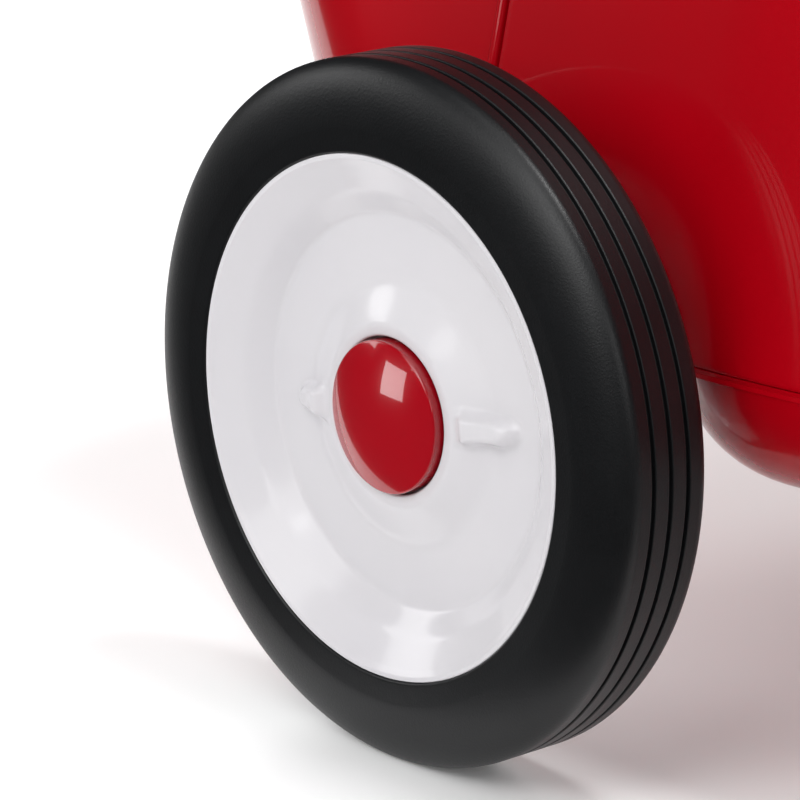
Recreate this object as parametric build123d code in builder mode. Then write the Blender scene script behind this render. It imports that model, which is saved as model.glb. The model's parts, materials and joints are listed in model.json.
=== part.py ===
"""A child's steel pull wagon: a tapered tub with a footwell, outboard wheels, linked steering and a tongue.

Frame: +Z up, +X towards the tongue, the floor at Z 0, and the origin on the floor under the middle of
the wagon's length and width. Units are millimetres.
"""

import os
from math import cos, hypot, radians, sin, tan

from build123d import *

os.makedirs("parts", exist_ok=True)

# ------------------------------------------------------------------ driving dimensions
tyre_radius = 127.0  # 10 inch tyre
tyre_half_width = 23.1
tyre_shoulder = 24.0  # tread down to the tyre's widest point
tyre_wall = 32.75  # tread down to the rim
tread_half_width = 13.2
groove_spacing = 7.95
groove_width = 1.8
groove_depth = 1.8
rim_lip_inset = 1.0  # the disc's lip, inside the tyre's face
disc_sheet = 1.5
disc_bend = 1.6
dish_flank = 22.95  # rim down to the flat of the dish
dish_face = 7.6
boss_face = 14.2
recess_face = 7.6
inner_disc_face = -12.0
cap_radius = 27.6
cap_gap = 0.85
cap_edge = 17.0
cap_dome = 4.8
cap_sheet = 1.2
boss_width = 6.6  # raised ring round the cap
bump_tip_inset = 11.3  # end of a bump, inside the dish
bump_width = 15.0
bump_height = 4.0
bump_angle = 5.5  # turn of the bumps from level on the rear right wheel

axle_radius = 6.35
running_clearance = 0.07
washer_clearance = 0.15
hub_sleeve_radius = 12.0
hub_inner_end = -20.0
bushing_wall = 2.2
bushing_reach = 12.0
bushing_flange = 2.0
bushing_flange_radius = 10.5
washer_sheet = 2.0
washer_radius = 11.5
push_nut_height = 3.0
push_nut_radius = 10.0
axle_past_nut = 1.2
side_play = 0.3

tyre_side_gap = 17.4  # tyre's inner face to the tub, at the floor
wheelbase = 450.0

floor_above_axle = 28.0  # top of the decks, and the seam under the side panels
wall_height = 175.0  # decks to the centre of the rolled rim
sheet = 1.5
side_lean = 0.22  # inward per unit of height
tub_half_width = 190.0  # at the floor, behind the taper
nose_half_width = 118.0  # at the floor, where the taper's line meets the nose
tail_overhang = 176.0  # rear axle to the tail, at the floor
tail_rake = 0.42
tail_corner = 146.0
tail_corner_loss = 0.38  # corner radius lost per unit of height
nose_overhang = 142.0  # front axle to the nose, at the floor
nose_rake = 0.35
nose_corner = 84.0
nose_corner_loss = 0.2
taper_start = 110.0  # ahead of the rear axle
taper_blend = 420.0
seam_from_rear_axle = -26.0
seam_gap = 1.0
nose_seam_from_front_axle = 26.0
hem_width = 4.0
hem_height = 1.6
floor_lip = 14.0
rim_bead_radius = 5.0

well_back = 50.0  # ahead of the rear axle
well_front = 150.0  # behind the front axle
well_depth = 47.0
well_corner = 62.0
well_flat = 2.0  # upright part of the footwell's side, above its rolled belly
well_flange = 14.0

bracket_length = 52.0
bracket_inset = 40.0  # end of the bracket, in from the tub's side
bracket_sheet = 3.0
bracket_below_axle = 14.0
spacer_radius = 9.0
bolt_radius = 3.0
bolt_head_radius = 6.0
bolt_head_height = 3.4
nut_radius = 5.6
nut_height = 5.0

king_pin_inset = 50.5  # king pin, inboard of its wheel's middle
king_pin_radius = 5.0
king_pin_head = 3.0
beam_half_width = 15.0
beam_height = 20.0
beam_boss_radius = 11.0
riser_inner = 62.0
riser_outer = 98.0
riser_half_width = 18.0
link_gap = 0.5
knuckle_plate = 5.0
knuckle_half_width = 13.0
knuckle_web_gap = 2.0
knuckle_web = 6.0
steering_arm = 46.0
arm_half_width = 8.0
tie_rod_thickness = 4.5
rivet_radius = 4.0
rivet_head_radius = 6.5
rivet_head_height = 2.0

tongue_radius = 9.0
tongue_wall = 1.5
tongue_length = 660.0  # pivot to the tube's upper end
tongue_lean = 4.0  # degrees back from upright, resting on its stop
tongue_rim_gap = 4.0
tongue_solid_foot = 26.0
pivot_above_bar = 11.5
clevis_ear = 4.0
clevis_gap = 0.5
clevis_round = 13.0
clevis_pin_radius = 4.8
clevis_pin_head = 2.5
clevis_pin_head_radius = 7.5
stop_sheet = 4.0
stop_gap = 0.4
collar_radius = 11.5
collar_grip = 24.0
collar_cap = 5.0
loop_rod_radius = 6.0
loop_half_width = 62.0
loop_height = 96.0
loop_foot_half_width = 24.0
loop_foot_corner = 16.0
loop_top_corner = 14.0
grip_radius = 12.5
grip_half_length = 38.0

# ------------------------------------------------------------------ derived places
wheel_height = tyre_radius
floor_height = wheel_height + floor_above_axle
rim_height = floor_height + wall_height
tyre_widest_radius = tyre_radius - tyre_shoulder
rim_radius = tyre_radius - tyre_wall
rim_lip = tyre_half_width - rim_lip_inset
dish_radius = rim_radius - dish_flank
boss_radius = cap_radius + boss_width
bump_tip_radius = dish_radius - bump_tip_inset
half_track = tub_half_width + tyre_side_gap + tyre_half_width  # wheel middle to the wagon's middle
king_pin_track = half_track - king_pin_inset
bracket_half_span = tub_half_width - bracket_inset
well_round = well_depth - well_flat
deck_under = floor_height - sheet
beam_top = wheel_height + beam_height / 2
beam_under = wheel_height - beam_height / 2
arm_top = beam_under - link_gap
arm_under = arm_top - knuckle_plate
pivot_height = arm_top + pivot_above_bar
nose_rim_overhang = nose_overhang + nose_rake * wall_height
nose_rim_corner = nose_corner - nose_corner_loss * wall_height
nose_rim_half = nose_half_width - side_lean * wall_height
rim_sweep = (
    hypot(nose_rim_overhang - nose_rim_corner, nose_rim_half - nose_rim_corner)
    + nose_rim_corner
    + rim_bead_radius
)
pivot_reach = (
    rim_sweep
    + (tongue_radius + tongue_rim_gap) / cos(radians(tongue_lean))
    + (rim_height - pivot_height) * tan(radians(tongue_lean))
)
tail_rim_reach = tail_overhang + tail_rake * wall_height + rim_bead_radius - sheet / 2
front_reach = wheelbase + pivot_reach + clevis_round
rear_axle_x = (tail_rim_reach - front_reach) / 2
front_axle_x = rear_axle_x + wheelbase
pivot_x = front_axle_x + pivot_reach
seam_x = rear_axle_x + seam_from_rear_axle
nose_seam_x = front_axle_x + nose_seam_from_front_axle
bushing_bore = axle_radius + running_clearance
bushing_radius = bushing_bore + bushing_wall
hub_outer_end = recess_face
washer_inner = hub_outer_end + bushing_flange + side_play
nut_inner = washer_inner + washer_sheet
axle_end = nut_inner + push_nut_height + axle_past_nut
hub_inner_stop = -hub_inner_end + bushing_flange + side_play  # inboard of the wheel's middle
wheel_places = {
    "rear_right": (rear_axle_x, -1),
    "rear_left": (rear_axle_x, 1),
    "front_right": (front_axle_x, -1),
    "front_left": (front_axle_x, 1),
}
wheel_turns = {  # where each wheel has stopped, degrees
    "rear_right": bump_angle,
    "rear_left": 62.0,
    "front_right": 118.0,
    "front_left": 31.0,
}


def save(piece, name):
    """Labels a finished piece and writes its STEP file."""
    piece.label = name
    export_step(piece, f"parts/{name}.step")


# ------------------------------------------------------------------ small shared shapes
def turned_y(x, y, z, sections):
    """Rings on an axis along Y: each section is (start, length, radius, bore) outward from y."""
    side = 1 if y >= 0 else -1
    with BuildPart() as turned:
        for start, length, radius, bore in sections:
            with BuildSketch(Plane(origin=(x, y + side * start, z), z_dir=(0, side, 0))):
                Circle(radius)
                if bore:
                    Circle(bore, mode=Mode.SUBTRACT)
            extrude(amount=length)
    return turned.part


def bolt_z(x, y, head_under, grip, shank=bolt_radius, head=bolt_head_radius, height=bolt_head_height):
    """A round-headed bolt standing on Z: its head above head_under and its shank below."""
    with BuildPart() as bolt:
        with BuildSketch(Plane.XY.offset(head_under)):
            with Locations((x, y)):
                Circle(head)
        extrude(amount=height)
        fillet(bolt.faces().sort_by(Axis.Z)[-1].edges(), height * 0.6)
        with BuildSketch(Plane.XY.offset(head_under)):
            with Locations((x, y)):
                Circle(shank)
        extrude(amount=-grip)
    return bolt.part


def nut_z(x, y, top, shank=bolt_radius, across=nut_radius, height=nut_height):
    """A hexagon nut under the plane top, bored to its bolt."""
    with BuildPart() as nut:
        with BuildSketch(Plane.XY.offset(top)):
            with Locations((x, y)):
                RegularPolygon(across, 6)
                Circle(shank, mode=Mode.SUBTRACT)
        extrude(amount=-height)
    return nut.part


def group(pieces):
    """Several solids kept together as one node."""
    return Compound(children=[Solid(s.wrapped) for piece in pieces for s in piece.solids()])


# ------------------------------------------------------------------ the tub's outline
def outline_face(z, inset=0.0):
    """The tub's plan outline at height z, taken in by inset, as a face."""
    up = z - floor_height
    half = tub_half_width - side_lean * up - inset
    nose_half = nose_half_width - side_lean * up - inset
    tail = rear_axle_x - tail_overhang - tail_rake * up + inset
    nose = front_axle_x + nose_overhang + nose_rake * up - inset
    taper = rear_axle_x + taper_start
    with BuildSketch(Plane.XY.offset(z)) as outline:
        with BuildLine():
            Polyline(
                (tail, -half),
                (taper, -half),
                (nose, -nose_half),
                (nose, nose_half),
                (taper, half),
                (tail, half),
                close=True,
            )
        make_face()
        columns = outline.vertices().group_by(Axis.X)
        fillet(columns[0], tail_corner - tail_corner_loss * up - inset)
        fillet(outline.vertices().filter_by_position(Axis.X, taper - 1, taper + 1), taper_blend)
        fillet(
            outline.vertices().filter_by_position(Axis.X, nose - 1, nose + 1),
            nose_corner - nose_corner_loss * up - inset,
        )
    return outline.sketch


def tub_solid(inset=0.0, low=floor_height, high=rim_height):
    """The tub's outer form, or one inside or outside it by inset, between two heights."""
    with BuildPart() as form:
        add(outline_face(low, inset))
        add(outline_face(high, inset))
        loft(ruled=True)
    return form.part


outer_form = tub_solid()
inner_form = tub_solid(sheet)
hem_form = tub_solid(-hem_height)
long_way = 2 * (tail_rim_reach + front_reach)
wide_way = 4 * tub_half_width
bracket_bolts = [
    (rear_axle_x + sx * bracket_length / 3, sy * bracket_half_span * 2 / 3)
    for sx in (-1, 1) for sy in (-1, 1)
]
riser_middle = (riser_inner + riser_outer) / 2
beam_bolts = [(front_axle_x, side * riser_middle) for side in (-1, 1)]


def slab(x_low, x_high, y_low=-wide_way, y_high=wide_way):
    """A tall block between two X planes, used to part the tub's wall at its seams."""
    with BuildPart() as block:
        with Locations(((x_low + x_high) / 2, (y_low + y_high) / 2, rim_height / 2)):
            Box(x_high - x_low, y_high - y_low, 3 * rim_height)
    return block.part


def hem_band(span):
    """The raised hem of a wall's end, inside the slab span."""
    with BuildPart() as raised:
        add(hem_form)
        add(inner_form, mode=Mode.SUBTRACT)
        add(span, mode=Mode.INTERSECT)
    return raised.part


def wall_piece(keep, hem=None):
    """The part of the tub's wall inside keep, with its hem where it has one."""
    with BuildPart() as wall:
        add(outer_form)
        add(inner_form, mode=Mode.SUBTRACT)
        add(keep, mode=Mode.INTERSECT)
        if hem is not None:
            add(hem)
    return wall.part


tail_keep = slab(-long_way, seam_x - seam_gap / 2)
nose_keep = slab(nose_seam_x + seam_gap / 2, long_way)
side_low, side_high = seam_x + seam_gap / 2, nose_seam_x - seam_gap / 2
tail_hem = hem_band(slab(seam_x - seam_gap / 2 - hem_width, seam_x - seam_gap / 2))
nose_hem = hem_band(slab(nose_seam_x + seam_gap / 2, nose_seam_x + seam_gap / 2 + hem_width))

walls = {
    "tub_tail": wall_piece(tail_keep, tail_hem),
    "tub_nose": wall_piece(nose_keep, nose_hem),
    "tub_side_right": wall_piece(slab(side_low, side_high, -wide_way, 0)),
    "tub_side_left": wall_piece(slab(side_low, side_high, 0, wide_way)),
}
for name, wall in walls.items():
    save(wall, name)

# rolled rim: a ring of round section closed round the top edge of the walls
rim_path = outline_face(rim_height, sheet / 2).face().outer_wire()
with BuildPart() as whole_wall:
    add(outer_form)
    add(inner_form, mode=Mode.SUBTRACT)
    for wall in walls.values():
        add(wall)
with BuildPart() as top_rim:
    with BuildSketch(Plane(origin=rim_path @ 0, z_dir=rim_path % 0)):
        Circle(rim_bead_radius)
    sweep(path=rim_path, transition=Transition.ROUND)
    add(whole_wall.part, mode=Mode.SUBTRACT)
save(top_rim.part, "top_rim")


# ------------------------------------------------------------------ decks and footwell
well_back_x = rear_axle_x + well_back
well_front_x = front_axle_x - well_front


def outline_prism(low, high, inset=0.0):
    """The plan outline at the floor, taken in by inset, standing between two heights."""
    with BuildPart() as prism:
        with BuildSketch(Plane.XY.offset(low)):
            add(outline_face(floor_height, inset).moved(Location((0, 0, -floor_height))))
        extrude(amount=high - low)
    return prism.part


def well_solid(inset=0.0):
    """The footwell's form from its rolled belly up to the seam, taken in by inset."""
    plan = outline_prism(floor_height - well_depth + inset, floor_height, inset)
    span = slab(well_back_x + inset, well_front_x - inset)
    with BuildPart() as form:
        add(plan)
        add(span, mode=Mode.INTERSECT)
        fillet(
            form.edges().filter_by(Axis.Z).group_by(Axis.X)[0]
            + form.edges().filter_by(Axis.Z).group_by(Axis.X)[-1],
            well_corner - inset,
        )
        fillet(form.faces().sort_by(Axis.Z)[0].edges(), well_round - inset)
    return form.part


well_outside = well_solid()
well_inside = well_solid(sheet)
flange_layer = tub_solid(0.0, deck_under - sheet, deck_under)
flange_span = slab(well_back_x - well_flange, well_front_x + well_flange)
# flanges at both ends of the footwell, spot-welded under the decks
with BuildPart() as well_flanges:
    add(flange_layer)
    add(flange_span, mode=Mode.INTERSECT)
    add(well_outside, mode=Mode.SUBTRACT)
with BuildPart() as footwell:
    add(well_outside)
    add(well_inside, mode=Mode.SUBTRACT)
    add(well_flanges.part)
save(footwell.part, "footwell")

# the decks' upturned lip, spot-welded inside the walls
lip_outside = tub_solid(sheet, floor_height, floor_height + floor_lip)
lip_inside = tub_solid(2 * sheet, floor_height, floor_height + floor_lip)
well_span = slab(well_back_x, well_front_x)
with BuildPart() as deck_lip:
    add(lip_outside)
    add(lip_inside, mode=Mode.SUBTRACT)
    add(well_span, mode=Mode.SUBTRACT)
deck_pan = outline_prism(deck_under, floor_height)
deck_middle = (well_back_x + well_front_x) / 2
for name, keep in {
    "rear_deck": slab(-long_way, deck_middle),
    "front_deck": slab(deck_middle, long_way),
}.items():
    with BuildPart() as deck:
        add(deck_pan)
        add(deck_lip.part)
        add(well_outside, mode=Mode.SUBTRACT)
        add(keep, mode=Mode.INTERSECT)
        with BuildSketch(Plane.XY.offset(deck_under)):
            with Locations(*bracket_bolts, *beam_bolts):
                Circle(bolt_radius)
        extrude(amount=sheet, mode=Mode.SUBTRACT)
    deck_solid = deck.part.solids().sort_by(SortBy.VOLUME)[-1]
    save(Part(deck_solid.wrapped), name)

# ------------------------------------------------------------------ rear axle
bracket_under = wheel_height - bracket_below_axle
with BuildPart() as rear_bracket:
    bracket_end = Plane(origin=(rear_axle_x, -bracket_half_span, 0), x_dir=(1, 0, 0), z_dir=(0, -1, 0))
    with BuildSketch(bracket_end):
        with BuildLine():
            Polyline(
                (-bracket_length / 2, deck_under),
                (-bracket_below_axle, bracket_under),
                (bracket_below_axle, bracket_under),
                (bracket_length / 2, deck_under),
                close=True,
            )
        make_face()
    extrude(amount=-2 * bracket_half_span)
    fillet(rear_bracket.edges().filter_by(Axis.Y).group_by(Axis.Z)[0], bracket_below_axle * 0.8)
    with Locations((rear_axle_x, 0, (bracket_under + deck_under) / 2 - bracket_sheet)):
        Box(
            2 * bracket_length,
            2 * (bracket_half_span - bracket_sheet),
            deck_under - bracket_under,
            mode=Mode.SUBTRACT,
        )
    with BuildSketch(Plane(origin=(rear_axle_x, -bracket_half_span, wheel_height), z_dir=(0, 1, 0))):
        Circle(axle_radius)
    extrude(amount=2 * bracket_half_span, mode=Mode.SUBTRACT)
    with BuildSketch(Plane.XY.offset(deck_under)):
        with Locations(*bracket_bolts):
            Circle(bolt_radius)
    extrude(amount=-bracket_sheet, mode=Mode.SUBTRACT)
save(rear_bracket.part, "rear_bracket")

rear_reach = half_track + axle_end
with BuildPart() as rear_axle:
    with BuildSketch(Plane(origin=(rear_axle_x, -rear_reach, wheel_height), z_dir=(0, 1, 0))):
        Circle(axle_radius)
    extrude(amount=2 * rear_reach)
    chamfer(rear_axle.edges().filter_by(GeomType.CIRCLE), 0.8)
save(rear_axle.part, "rear_axle")

spacer_length = half_track - hub_inner_stop - bracket_half_span
save(
    group(
        turned_y(rear_axle_x, side * bracket_half_span, wheel_height,
                 [(0, spacer_length, spacer_radius, axle_radius)])
        for side in (-1, 1)
    ),
    "rear_spacers",
)


def end_washer(x, side):
    """The washer outside a hub, loose on its axle."""
    bore = axle_radius + washer_clearance
    return turned_y(
        x, side * half_track, wheel_height, [(washer_inner, washer_sheet, washer_radius, bore)]
    )


def end_nut(x, side):
    """The domed push nut pressed on an axle's end."""
    nut = turned_y(
        x, side * half_track, wheel_height, [(nut_inner, push_nut_height, push_nut_radius, axle_radius)]
    )
    rim = nut.edges().filter_by(GeomType.CIRCLE).sort_by(SortBy.RADIUS)[-2:].sort_by(Axis.Y)
    return fillet(rim[-1] if side > 0 else rim[0], 1.4)


save(
    group(fitting(rear_axle_x, side) for side in (-1, 1) for fitting in (end_washer, end_nut)),
    "rear_axle_ends",
)
bracket_grip = sheet + bracket_sheet + nut_height + 1.5
save(group(bolt_z(x, y, floor_height, bracket_grip) for x, y in bracket_bolts), "bracket_bolts")
save(group(nut_z(x, y, deck_under - bracket_sheet) for x, y in bracket_bolts), "bracket_nuts")

# ------------------------------------------------------------------ front beam
boss_centres = [(front_axle_x, side * king_pin_track) for side in (-1, 1)]
king_bore = king_pin_radius + running_clearance
with BuildPart() as front_beam:
    with BuildSketch(Plane.XY.offset(beam_under)):
        with Locations((front_axle_x, 0)):
            Rectangle(2 * beam_half_width, 2 * (king_pin_track - 3 * beam_boss_radius))
        for side in (-1, 1):
            with BuildLine():
                Polyline(
                    (front_axle_x - beam_half_width, side * (king_pin_track - 3 * beam_boss_radius)),
                    (front_axle_x + beam_half_width, side * (king_pin_track - 3 * beam_boss_radius)),
                    (front_axle_x + beam_boss_radius, side * king_pin_track),
                    (front_axle_x - beam_boss_radius, side * king_pin_track),
                    close=True,
                )
            make_face()
        with Locations(*boss_centres):
            Circle(beam_boss_radius)
    extrude(amount=beam_height)
    with BuildSketch(Plane.XY.offset(beam_under)):
        with Locations(*boss_centres):
            Circle(king_bore)
        with Locations((front_axle_x, 0)):
            Circle(king_pin_radius)
        with Locations(*beam_bolts):
            Circle(bolt_radius)
    extrude(amount=beam_height, mode=Mode.SUBTRACT)
save(front_beam.part, "front_beam")

with BuildPart() as beam_risers:
    with BuildSketch(Plane.XY.offset(beam_top)):
        with Locations(*beam_bolts):
            RectangleRounded(2 * riser_half_width, riser_outer - riser_inner, 3)
            Circle(bolt_radius, mode=Mode.SUBTRACT)
    extrude(amount=deck_under - beam_top)
save(beam_risers.part, "beam_risers")
beam_grip = floor_height - beam_under + nut_height + 1.5
save(group(bolt_z(x, y, floor_height, beam_grip) for x, y in beam_bolts), "beam_bolts")
save(group(nut_z(x, y, beam_under) for x, y in beam_bolts), "beam_nuts")

# ------------------------------------------------------------------ steering
arm_end_x = front_axle_x - steering_arm
yoke_top = beam_top + link_gap + knuckle_plate
web_inner = beam_boss_radius + knuckle_web_gap
web_outer = web_inner + knuckle_web
for name, side in {"right": -1, "left": 1}.items():
    pin_y = side * king_pin_track
    with BuildPart() as knuckle:
        # the two plates of the yoke, joined by the web outside the beam's end
        for low in (arm_under, beam_top + link_gap):
            with BuildSketch(Plane.XY.offset(low)):
                with Locations((front_axle_x, pin_y)):
                    Circle(knuckle_half_width)
                with Locations((front_axle_x, pin_y + side * web_outer / 2)):
                    Rectangle(2 * knuckle_half_width, web_outer)
            extrude(amount=knuckle_plate)
        with BuildSketch(Plane.XY.offset(arm_under)):
            with Locations((front_axle_x, pin_y + side * (web_inner + web_outer) / 2)):
                Rectangle(2 * knuckle_half_width, knuckle_web)
        extrude(amount=yoke_top - arm_under)
        # steering arm, back from the lower plate
        with BuildSketch(Plane.XY.offset(arm_under)):
            with Locations(((front_axle_x + arm_end_x) / 2, pin_y)):
                Rectangle(steering_arm, 2 * arm_half_width)
            with Locations((arm_end_x, pin_y)):
                Circle(arm_half_width)
        extrude(amount=knuckle_plate)
        with BuildSketch(Plane.XY.offset(arm_under)):
            with Locations((front_axle_x, pin_y)):
                Circle(king_pin_radius)
            with Locations((arm_end_x, pin_y)):
                Circle(rivet_radius)
        extrude(amount=yoke_top - arm_under, mode=Mode.SUBTRACT)
        # collar and stub axle
        stub_start = king_pin_track + web_outer
        add(turned_y(front_axle_x, side * stub_start, wheel_height, [
            (0, half_track - hub_inner_stop - stub_start, spacer_radius, 0),
            (0, half_track + axle_end - stub_start, axle_radius, 0),
        ]))
    save(knuckle.part, f"knuckle_{name}")

    with BuildPart() as king_pin:
        with BuildSketch(Plane.XY.offset(arm_under)):
            with Locations((front_axle_x, pin_y)):
                Circle(king_pin_radius)
        extrude(amount=yoke_top - arm_under)
        with BuildSketch(Plane.XY.offset(yoke_top)):
            with Locations((front_axle_x, pin_y)):
                Circle(king_pin_radius + king_pin_head)
        extrude(amount=king_pin_head)
        fillet(king_pin.faces().sort_by(Axis.Z)[-1].edges(), king_pin_head / 2)
        with BuildSketch(Plane.XY.offset(arm_under)):
            with Locations((front_axle_x, pin_y)):
                Circle(king_pin_radius + 2)
        extrude(amount=-2)
    save(king_pin.part, f"king_pin_{name}")
    save(group([end_washer(front_axle_x, side), end_nut(front_axle_x, side)]), f"stub_axle_end_{name}")

rod_under = beam_under
rod_top = rod_under + tie_rod_thickness
rod_track = [(arm_end_x, side * king_pin_track) for side in (-1, 0, 1)]
with BuildPart() as tie_rod:
    with BuildSketch(Plane.XY.offset(rod_under)):
        with Locations((arm_end_x, 0)):
            Rectangle(2 * arm_half_width, 2 * king_pin_track)
        with Locations(*rod_track):
            Circle(arm_half_width)
            Circle(rivet_radius + running_clearance, mode=Mode.SUBTRACT)
    extrude(amount=tie_rod_thickness)
save(tie_rod.part, "tie_rod")


def rivet(y):
    """The shouldered rivet that joins an arm's end to the tie rod."""
    with BuildPart() as pin:
        for low, high, radius in (
            (arm_under, rod_top + link_gap, rivet_radius),
            (arm_under - rivet_head_height, arm_under, rivet_head_radius),
            (rod_top + link_gap, rod_top + link_gap + rivet_head_height, rivet_head_radius),
        ):
            with BuildSketch(Plane.XY.offset(low)):
                with Locations((arm_end_x, y)):
                    Circle(radius)
            extrude(amount=high - low)
        fillet(pin.faces().sort_by(Axis.Z)[-1].edges(), rivet_head_height * 0.7)
        fillet(pin.faces().sort_by(Axis.Z)[0].edges(), rivet_head_height * 0.7)
    return pin.part


save(rivet(-king_pin_track), "tie_rivet_right")
save(rivet(king_pin_track), "tie_rivet_left")
save(rivet(0), "tie_rivet_middle")

# ------------------------------------------------------------------ tongue bar
ear_inner = tongue_radius + clevis_gap
ear_outer = ear_inner + clevis_ear
pivot_from_kingbolt = pivot_x - front_axle_x
channel_back = front_axle_x + beam_half_width + 2 * ear_outer
with BuildPart() as tongue_bar:
    with BuildSketch(Plane.XY.offset(arm_under)):
        with Locations(((arm_end_x + pivot_x) / 2 + 4, 0)):
            Rectangle(pivot_x - arm_end_x + 8, 2 * ear_outer)
        with Locations((arm_end_x, 0)):
            Circle(ear_outer)
        with Locations((front_axle_x, 0)):
            Circle(2 * ear_outer)
    extrude(amount=knuckle_plate)
    for side in (-1, 1):
        ear_plane = Plane(origin=(0, side * ear_inner, 0), x_dir=(1, 0, 0), z_dir=(0, -1, 0))
        with BuildSketch(ear_plane):
            with BuildLine():
                Polyline(
                    (channel_back, arm_under),
                    (pivot_x, arm_under),
                    (pivot_x, pivot_height + clevis_round),
                    (channel_back + 2 * clevis_round, pivot_height),
                    (channel_back, arm_top),
                    close=True,
                )
            make_face()
            with Locations((pivot_x, pivot_height)):
                Circle(clevis_round)
                Circle(clevis_pin_radius, mode=Mode.SUBTRACT)
        extrude(amount=-side * clevis_ear)
    # stop plate behind the tongue's foot
    stop_face = pivot_x - tongue_radius / cos(radians(tongue_lean)) - stop_gap - clevis_round * tan(
        radians(tongue_lean)
    )
    with Locations((stop_face - stop_sheet / 2, 0, (arm_top + pivot_height + clevis_round) / 2)):
        Box(stop_sheet, 2 * ear_inner, pivot_height + clevis_round - arm_top)
    with BuildSketch(Plane.XY.offset(arm_under)):
        with Locations((front_axle_x, 0)):
            Circle(king_bore)
        with Locations((arm_end_x, 0)):
            Circle(rivet_radius)
    extrude(amount=knuckle_plate, mode=Mode.SUBTRACT)
save(tongue_bar.part, "tongue_bar")

king_grip = beam_height + link_gap + knuckle_plate + link_gap
king_bolt = bolt_z(front_axle_x, 0, beam_top, king_grip + nut_height + 1.5, king_pin_radius, 9.0, 4.5)
king_nut = nut_z(front_axle_x, 0, beam_top - king_grip, king_pin_radius, 8.5, nut_height + 1)
save(group([king_bolt, king_nut]), "king_bolt")

with BuildPart() as clevis_pin:
    pin_face = Plane(origin=(pivot_x, -ear_outer, pivot_height), z_dir=(0, 1, 0))
    with BuildSketch(pin_face):
        Circle(clevis_pin_radius)
    extrude(amount=2 * ear_outer + clevis_pin_head + 1)
    with BuildSketch(pin_face):
        Circle(clevis_pin_head_radius)
    extrude(amount=-clevis_pin_head)
    fillet(clevis_pin.faces().sort_by(Axis.Y)[0].edges(), clevis_pin_head * 0.6)
clevis_clip = turned_y(
    pivot_x, ear_outer, pivot_height,
    [(0, clevis_pin_head, clevis_pin_head_radius, clevis_pin_radius)],
)
save(group([clevis_pin.part, clevis_clip]), "clevis_pin")

# ------------------------------------------------------------------ tongue, built along its own length
tongue_frame = Plane(
    origin=(pivot_x, 0, pivot_height),
    x_dir=(0, 1, 0),
    z_dir=(-sin(radians(tongue_lean)), 0, cos(radians(tongue_lean))),
)
rod_height = tongue_length + loop_rod_radius + 1
with BuildPart() as tongue:
    with BuildSketch(tongue_frame):
        Circle(tongue_radius)
    extrude(amount=tongue_length)
    with BuildSketch(Plane(origin=(pivot_x, -tongue_radius, pivot_height), z_dir=(0, 1, 0))):
        Circle(tongue_radius)
    extrude(amount=2 * tongue_radius)
    with BuildSketch(tongue_frame.offset(tongue_solid_foot)):
        Circle(tongue_radius - tongue_wall)
    extrude(amount=tongue_length, mode=Mode.SUBTRACT)
    with BuildSketch(Plane(origin=(pivot_x, -tongue_radius, pivot_height), z_dir=(0, 1, 0))):
        Circle(clevis_pin_radius + running_clearance)
    extrude(amount=2 * tongue_radius, mode=Mode.SUBTRACT)
save(tongue.part, "tongue")

loop_plane = Plane(
    origin=tongue_frame.origin + tongue_frame.z_dir * rod_height,
    x_dir=(0, 1, 0),
    z_dir=tongue_frame.x_dir.cross(tongue_frame.z_dir),
)
with BuildSketch(loop_plane) as loop_shape:
    with BuildLine():
        Polyline(
            (-loop_foot_half_width, 0),
            (loop_foot_half_width, 0),
            (loop_half_width, loop_height),
            (-loop_half_width, loop_height),
            close=True,
        )
    make_face()
    fillet(loop_shape.vertices().sort_by(Axis.Y)[:2], loop_foot_corner)
    fillet(loop_shape.vertices().sort_by(Axis.Y)[-2:], loop_top_corner)
loop_path = loop_shape.sketch.face().outer_wire()
with BuildPart() as handle_loop:
    with BuildSketch(Plane(origin=loop_path @ 0, z_dir=loop_path % 0)):
        Circle(loop_rod_radius)
    sweep(path=loop_path, transition=Transition.ROUND)
save(handle_loop.part, "handle_loop")

with BuildPart() as loop_collar:
    collar_base = tongue_frame.offset(tongue_length - collar_grip)
    with BuildSketch(collar_base):
        Circle(collar_radius)
    extrude(amount=collar_grip + (rod_height - tongue_length) + loop_rod_radius + collar_cap)
    fillet(loop_collar.faces().sort_by(Axis.Z)[-1].edges(), collar_cap * 0.6)
    with BuildSketch(collar_base):
        Circle(tongue_radius)
    extrude(amount=collar_grip, mode=Mode.SUBTRACT)
    with BuildSketch(Plane(origin=loop_plane.origin - Vector(0, 2 * collar_radius, 0), z_dir=(0, 1, 0))):
        Circle(loop_rod_radius)
    extrude(amount=4 * collar_radius, mode=Mode.SUBTRACT)
save(loop_collar.part, "loop_collar")

grip_centre = loop_plane.origin + tongue_frame.z_dir * loop_height
with BuildPart() as grip:
    with BuildSketch(Plane(origin=grip_centre - Vector(0, grip_half_length, 0), z_dir=(0, 1, 0))):
        Circle(grip_radius)
    extrude(amount=2 * grip_half_length)
    fillet(grip.edges().filter_by(GeomType.CIRCLE), 3)
    with BuildSketch(Plane(origin=grip_centre - Vector(0, grip_half_length, 0), z_dir=(0, 1, 0))):
        Circle(loop_rod_radius)
    extrude(amount=2 * grip_half_length, mode=Mode.SUBTRACT)
save(grip.part, "grip")


# ------------------------------------------------------------------ wheels
def wheel_plane(x, side):
    """A plane through a wheel's axis: its X points outboard and its Y up from the axle."""
    return Plane(origin=(x, side * half_track, wheel_height), x_dir=(0, side, 0), z_dir=(side, 0, 0))


def turned_wheel_part(x, side, face):
    """A solid of revolution on a wheel's axis, from a profile drawn outboard by radius."""
    with BuildPart() as turned:
        with BuildSketch(wheel_plane(x, side)):
            add(face)
        revolve(axis=Axis((x, side * half_track, wheel_height), (0, 1, 0)))
    return turned.part


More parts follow.
